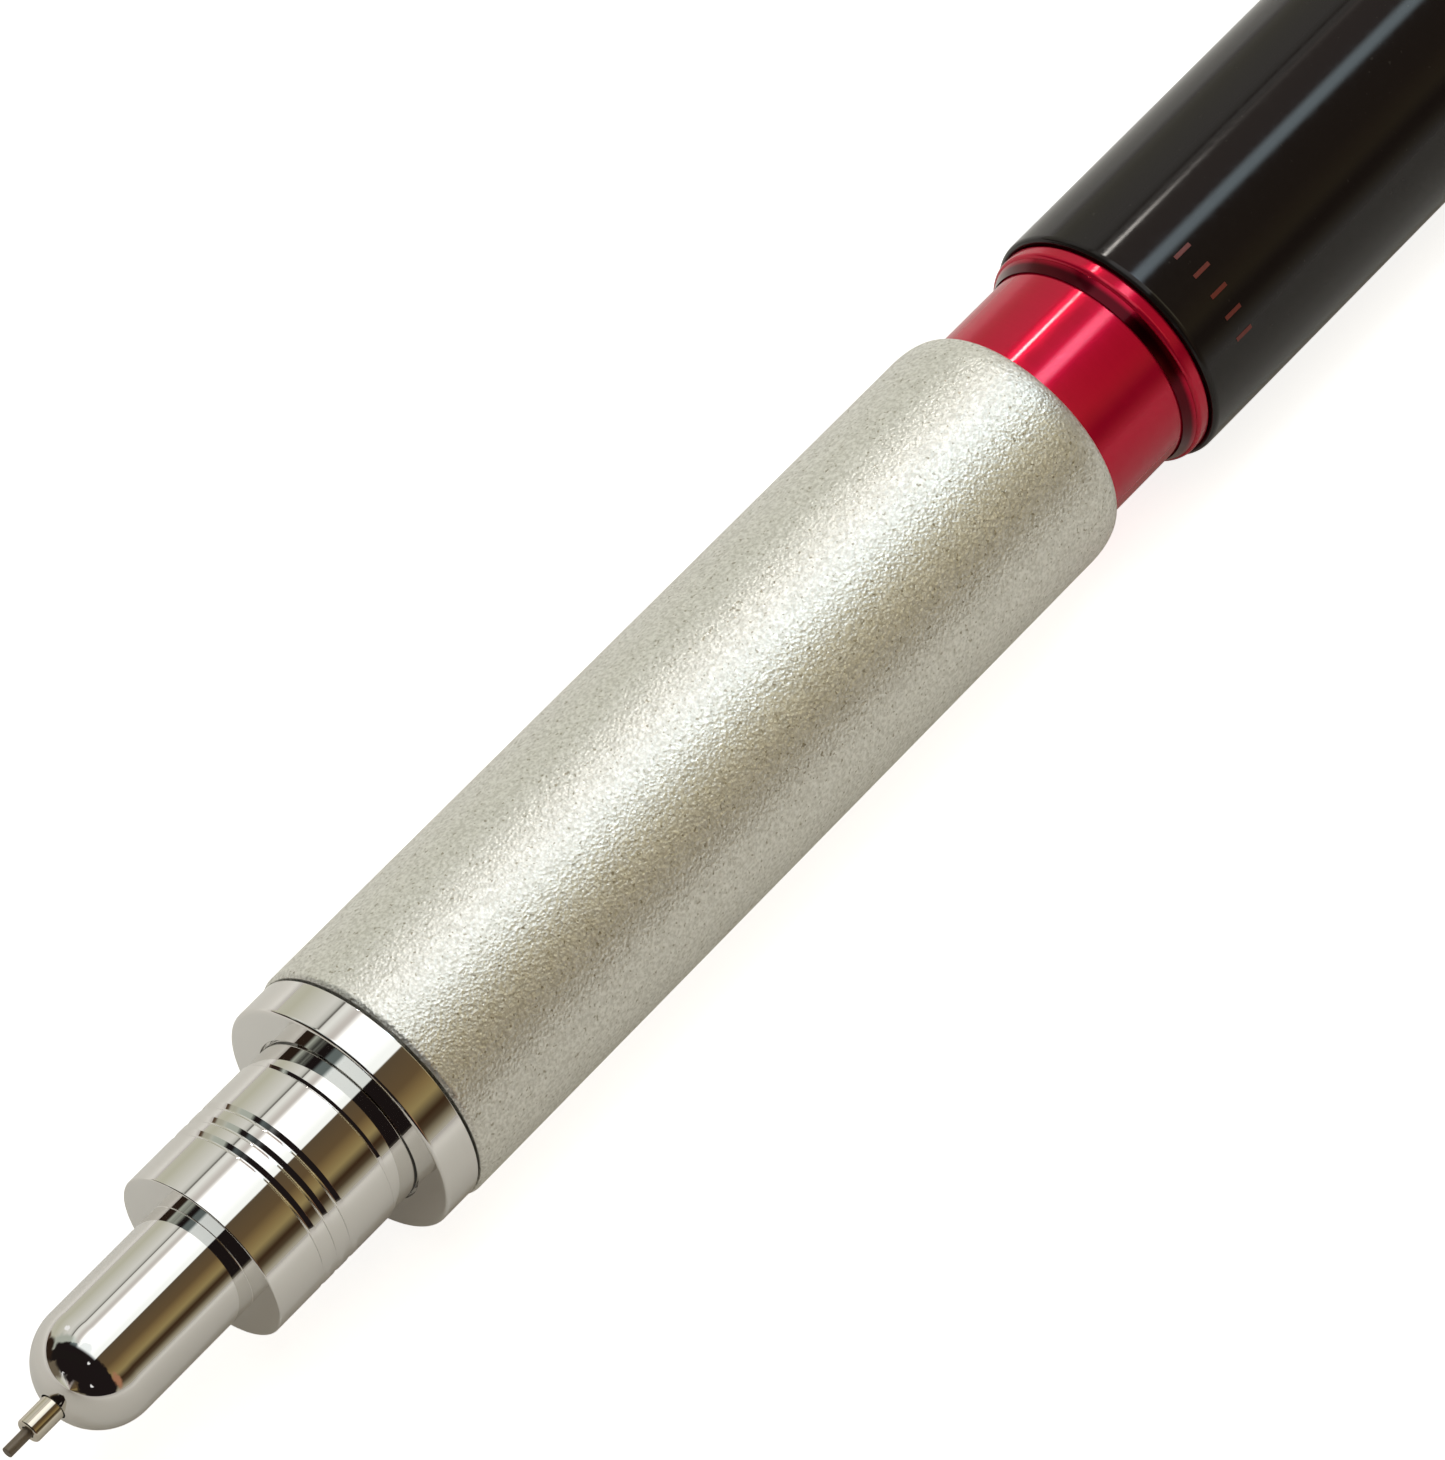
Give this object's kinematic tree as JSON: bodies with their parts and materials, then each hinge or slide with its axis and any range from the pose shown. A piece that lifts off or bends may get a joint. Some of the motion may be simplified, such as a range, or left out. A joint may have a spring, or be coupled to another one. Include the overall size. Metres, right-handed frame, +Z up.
{
  "type": "mechanical drafting pencil",
  "caption": "Slim drafting pencil with a stepped chrome nose, satin grip, crimson shift sleeve, black barrel, clip and push button that feeds a fine lead.",
  "frame": {"origin": "on the surface the pencil lies on, under the middle of its bounding box", "axes": "+X along the pencil from the point towards the push button, +Z up off the surface it lies on, +Y towards the clip's side"},
  "size_m": [0.147, 0.0126, 0.0109],
  "materials": {
    "chrome": "bright chrome plate on turned brass, mirror polished, with fine turning marks",
    "satin_grip": "pearl silver anodising over a fine bead-blasted surface",
    "crimson_anodised": "clear crimson anodising on bright turned aluminium",
    "black_lacquer": "gloss black lacquer",
    "steel": "bright stainless steel",
    "brass": "bare turned brass",
    "clear_plastic": "translucent polypropylene",
    "nylon": "natural white moulded plastic",
    "black_rubber": "matt black rubber",
    "eraser_white": "white vinyl eraser",
    "graphite": "fired graphite and polymer lead"
  },
  "bodies": {
    "barrel": {"barrel": "black_lacquer", "mouth_ring": "crimson_anodised", "shift_guide": "steel", "mechanism_case": "nylon", "pipe_holder": "brass", "guide_pipe": "steel", "lead_retainer": "black_rubber", "clip_band": "chrome", "rear_ferrule": "chrome", "shift_spring": "steel", "chuck_spring": "steel"},
    "lock": {"lock_ring": "steel", "lock_pin": "steel"},
    "front_shell": {"nose_cone": "chrome", "nose_collar": "chrome", "grip_sleeve": "satin_grip", "grip_core": "brass", "shift_sleeve": "crimson_anodised"},
    "plunger": {"lead_tube": "clear_plastic", "chuck_connector": "brass", "chuck": "brass", "eraser_holder": "steel", "eraser": "eraser_white", "spare_lead_1": "graphite", "spare_lead_2": "graphite"},
    "button": {"push_button": "chrome"},
    "clutch": {"clutch_ring": "brass"},
    "lead": {"lead": "graphite"},
    "clip": {"clip_arm": "chrome"}
  },
  "joints": [
    {"name": "shift_slide", "type": "slide", "parent": "barrel", "child": "lock", "axis": [1, 0, 0], "range_m": [0, 0.0044], "stiffness_N_per_m": 250, "springref_m": -0.006, "deforming": ["shift_spring"]},
    {"name": "shift_twist", "type": "hinge", "parent": "lock", "child": "front_shell", "pos_m": [0, -0.0008, 0.00545], "axis": [1, 0, 0], "range_deg": [0, 35]},
    {"name": "button_press", "type": "slide", "parent": "barrel", "child": "plunger", "axis": [-1, 0, 0], "range_m": [0, 0.003], "stiffness_N_per_m": 400, "springref_m": -0.004, "deforming": ["chuck_spring"]},
    {"name": "clutch_slide", "type": "slide", "parent": "barrel", "child": "clutch", "axis": [-1, 0, 0], "range_m": [0, 0.0012]},
    {"name": "lead_feed", "type": "slide", "parent": "barrel", "child": "lead", "axis": [-1, 0, 0], "range_m": [0, 0.0006]},
    {"name": "cap_pull", "type": "slide", "parent": "plunger", "child": "button", "axis": [1, 0, 0], "range_m": [0, 0.016]},
    {"name": "clip_flex", "type": "hinge", "parent": "barrel", "child": "clip", "pos_m": [0.0487, 0.0047, 0.00181], "axis": [0, -0.5521, -0.8338], "range_deg": [0, 4], "stiffness_Nm_per_rad": 0.05, "springref_deg": -5.73}
  ],
  "couplings": [
    {"joint": "clutch_slide", "follows": "button_press", "ratio": 0.4},
    {"joint": "lead_feed", "follows": "button_press", "ratio": 0.2}
  ]
}
